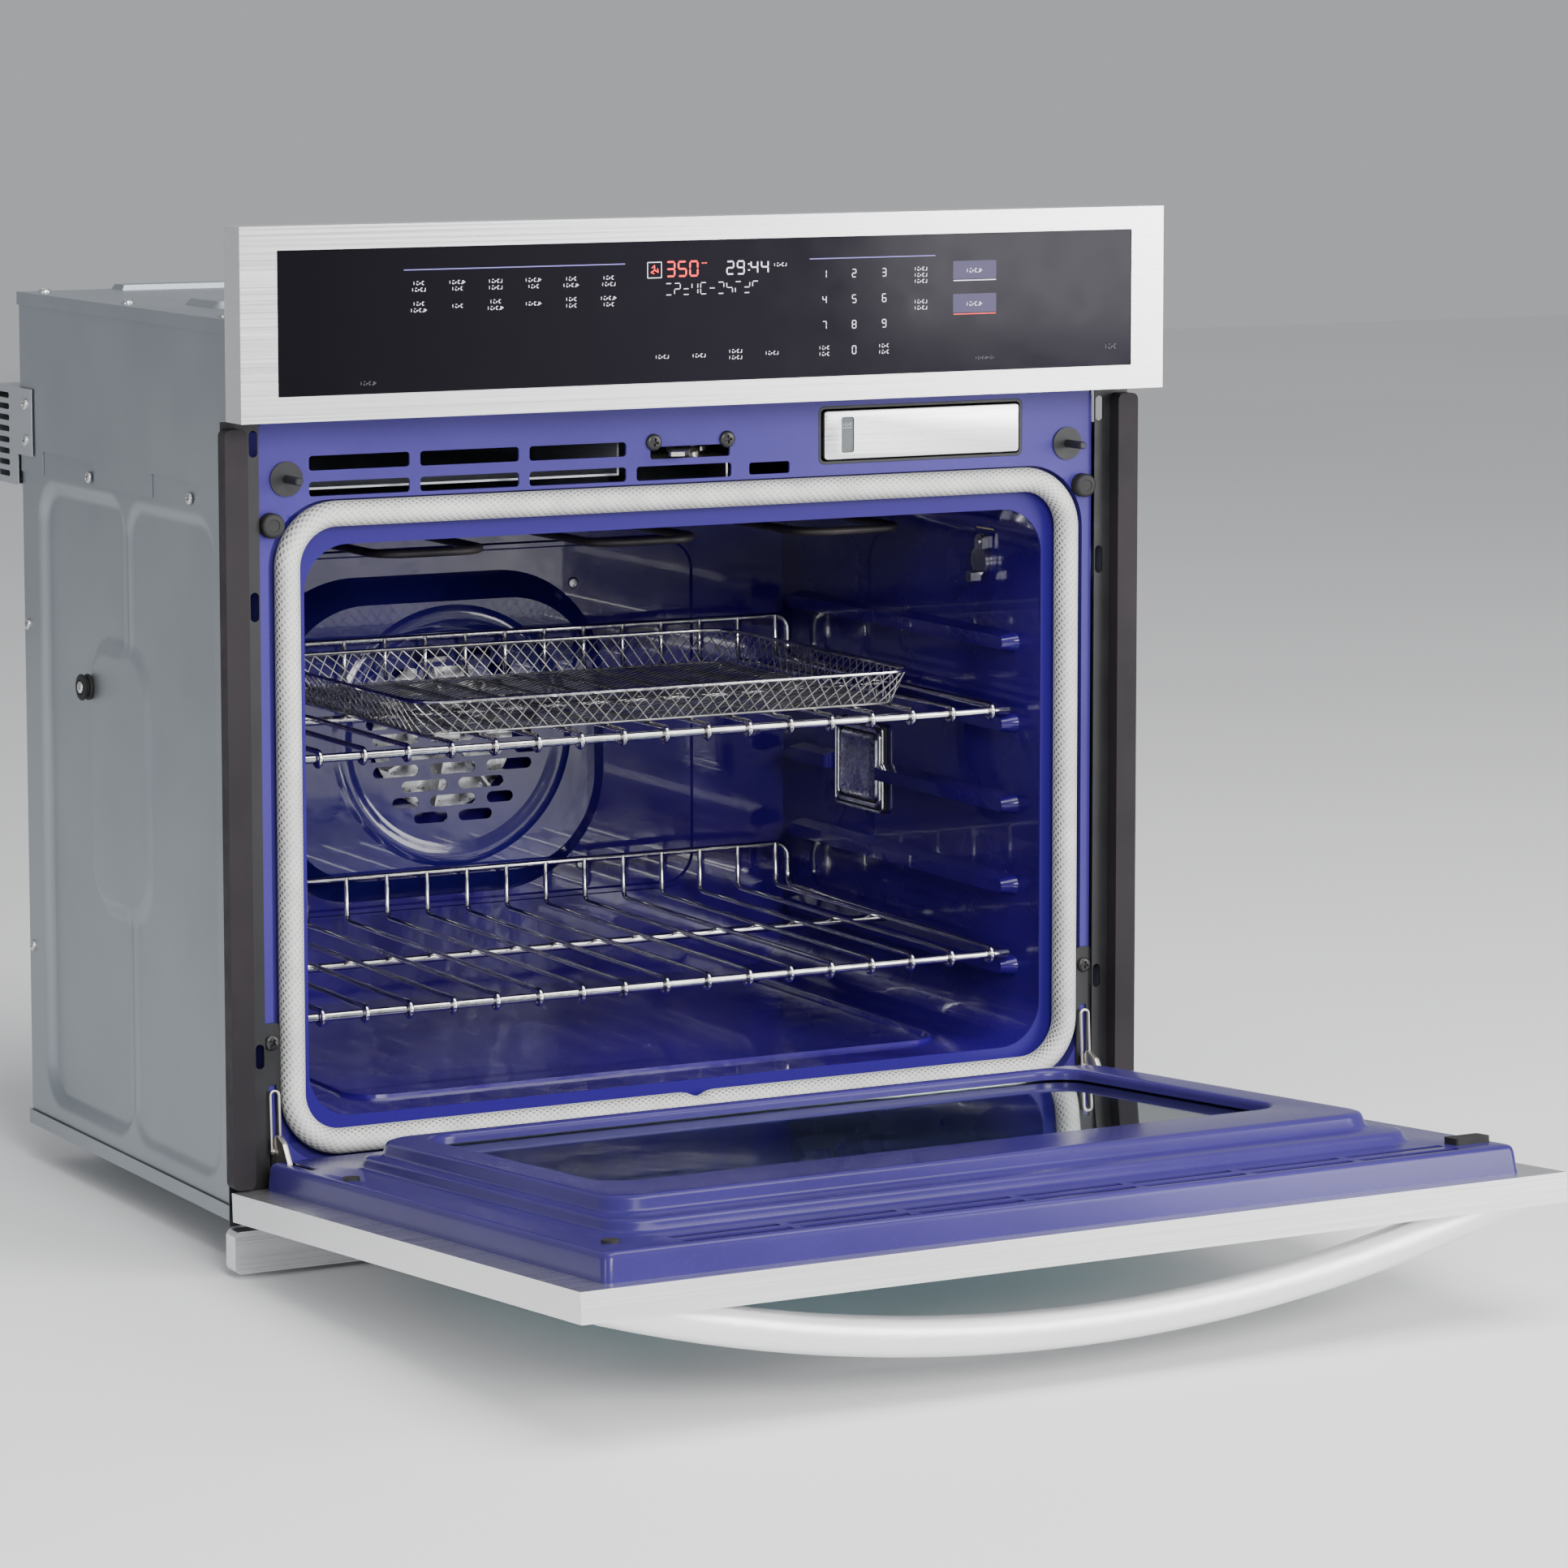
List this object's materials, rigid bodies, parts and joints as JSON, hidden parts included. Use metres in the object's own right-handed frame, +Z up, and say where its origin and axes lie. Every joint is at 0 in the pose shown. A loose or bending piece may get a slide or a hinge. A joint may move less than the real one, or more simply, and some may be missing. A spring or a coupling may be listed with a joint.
{
  "type": "wall oven",
  "caption": "Built-in electric wall oven with a drop-down windowed door, bowed handle, glass control panel, sliding wire racks, a mesh basket, convection fan and water drawer.",
  "frame": {"origin": "mid-width of the chassis, in the plane of the cabinet's face, at the height of the cut-out floor that the chassis stands on", "axes": "+X to the right seen from the room, +Y into the cabinet, +Z up"},
  "size_m": [0.755, 1.0783, 0.748],
  "materials": {
    "panel_steel": "horizontal brushed grain",
    "panel_glass": "gloss black",
    "door_steel": "horizontal brushed grain",
    "handle_steel": "polished along its length",
    "frame_enamel": "violet-blue speckled enamel",
    "door_enamel": "violet-blue speckled enamel",
    "cavity_enamel": "glossy deep blue enamel",
    "cover_enamel": "glossy deep blue enamel",
    "galvanized": "galvanized, dull",
    "duct_steel": "galvanized, dull",
    "black_steel": "satin black",
    "trim_paint": "dark grey-brown satin",
    "gasket_braid": "woven glass fibre",
    "rack_chrome": "bright",
    "basket_mesh": "bright woven wire",
    "window_glass": "clear, slightly tinted",
    "outer_glass": "dark tinted",
    "lamp_glass": "frosted",
    "black_rubber": "matt",
    "zinc": "zinc plated",
    "screw_steel": "zinc plated",
    "screw_black": "black oxide",
    "wool": "mineral wool",
    "element": "heat-darkened sheath",
    "board": "circuit board",
    "black_plastic": "satin",
    "tank_plastic": "satin",
    "fan_metal": "stamped",
    "motor_metal": "dark grey",
    "sensor_steel": "bright"
  },
  "bodies": {
    "chassis": {"base_pan": "galvanized", "side_panels": "galvanized", "upper_sides": "galvanized", "side_channels": "black_steel", "side_trims": "trim_paint", "top_cover": "galvanized", "component_deck": "galvanized", "back_panel": "galvanized", "rear_duct": "duct_steel", "motor_cover": "galvanized", "terminal_box": "galvanized", "front_frame": "frame_enamel", "cavity_liner": "cavity_enamel", "insulation": "wool", "door_gasket": "gasket_braid", "fan_cover": "cover_enamel", "fan_motor": "motor_metal", "heating_elements": "element", "lamp_housing": "black_steel", "lamp_lens": "lamp_glass", "probe_socket": "sensor_steel", "temperature_sensor": "sensor_steel", "blower_housing": "duct_steel", "blower_motor": "motor_metal", "panel_frame": "panel_steel", "panel_glass": "panel_glass", "panel_carrier": "black_plastic", "control_boards": "board", "latch_bracket": "zinc", "door_switch_flanges": "black_plastic", "rubber_bumpers": "black_rubber", "steam_drawer_sleeve": "black_plastic", "bottom_trim": "panel_steel", "bottom_bracket": "black_steel", "hinge_arms": "zinc", "hinge_receivers": "black_steel", "steel_screws": "screw_steel", "black_screws": "screw_black"},
    "door": {"door_shell": "door_steel", "door_outer_glass": "outer_glass", "door_inner_panes": "window_glass", "window_frame": "black_steel", "door_inner_panel": "door_enamel", "door_handle": "handle_steel", "door_pads": "black_rubber", "door_hinges": "zinc"},
    "upper_rack": {"upper_rack": "rack_chrome", "upper_rack_backstop": "rack_chrome"},
    "lower_rack": {"lower_rack": "rack_chrome", "lower_rack_backstop": "rack_chrome"},
    "mesh_basket": {"mesh_basket": "basket_mesh"},
    "steam_drawer": {"steam_drawer": "tank_plastic"},
    "convection_fan": {"convection_fan": "fan_metal"},
    "blower_wheel": {"blower_wheel": "fan_metal"},
    "latch_hook": {"latch_hook": "zinc"},
    "door_switch_pin_left": {"door_switch_pin_left": "black_plastic"},
    "door_switch_pin_right": {"door_switch_pin_right": "black_plastic"},
    "probe_cap": {"probe_cap": "sensor_steel"},
    "hinge_lock_left": {"hinge_lock_left": "zinc"},
    "hinge_lock_right": {"hinge_lock_right": "zinc"}
  },
  "joints": [
    {"name": "door_hinge", "type": "hinge", "parent": "chassis", "child": "door", "pos_m": [0, -0.03027, 0.03068], "axis": [1, 0, 0], "range_deg": [-85.48, 0]},
    {"name": "upper_rack_slide", "type": "slide", "parent": "chassis", "child": "upper_rack", "axis": [0, -1, 0], "range_m": [0, 0.28]},
    {"name": "lower_rack_slide", "type": "slide", "parent": "chassis", "child": "lower_rack", "axis": [0, -1, 0], "range_m": [0, 0.28]},
    {"name": "mesh_basket_slide", "type": "slide", "parent": "upper_rack", "child": "mesh_basket", "axis": [0, -1, 0], "range_m": [0, 0.25]},
    {"name": "steam_drawer_slide", "type": "slide", "parent": "chassis", "child": "steam_drawer", "axis": [0, -1, 0], "range_m": [0, 0.13]},
    {"name": "convection_fan_spin", "type": "hinge", "parent": "chassis", "child": "convection_fan", "pos_m": [-0.008, 0.42, 0.289], "axis": [0, 1, 0], "continuous": true},
    {"name": "blower_spin", "type": "hinge", "parent": "chassis", "child": "blower_wheel", "pos_m": [-0.18, 0.265, 0.598], "axis": [1, 0, 0], "continuous": true},
    {"name": "latch_swing", "type": "hinge", "parent": "chassis", "child": "latch_hook", "pos_m": [0.018, 0.034, 0.547], "axis": [0, 0, 1], "range_deg": [0, 14]},
    {"name": "probe_cap_swing", "type": "hinge", "parent": "chassis", "child": "probe_cap", "pos_m": [0.3, 0.095, 0.458], "axis": [1, 0, 0], "range_deg": [0, 100]},
    {"name": "door_switch_left", "type": "slide", "parent": "chassis", "child": "door_switch_pin_left", "axis": [0, 1, 0], "range_m": [0, 0.0162]},
    {"name": "hinge_lock_left_swing", "type": "hinge", "parent": "chassis", "child": "hinge_lock_left", "pos_m": [-0.339, -0.004, 0.058], "axis": [1, 0, 0], "range_deg": [0, 85]},
    {"name": "door_switch_right", "type": "slide", "parent": "chassis", "child": "door_switch_pin_right", "axis": [0, 1, 0], "range_m": [0, 0.0162]},
    {"name": "hinge_lock_right_swing", "type": "hinge", "parent": "chassis", "child": "hinge_lock_right", "pos_m": [0.339, -0.004, 0.058], "axis": [1, 0, 0], "range_deg": [0, 85]}
  ],
  "couplings": [
    {"joint": "door_switch_left", "follows": "door_hinge", "m_per_rad": -0.01072},
    {"joint": "door_switch_right", "follows": "door_hinge", "m_per_rad": -0.01072}
  ]
}
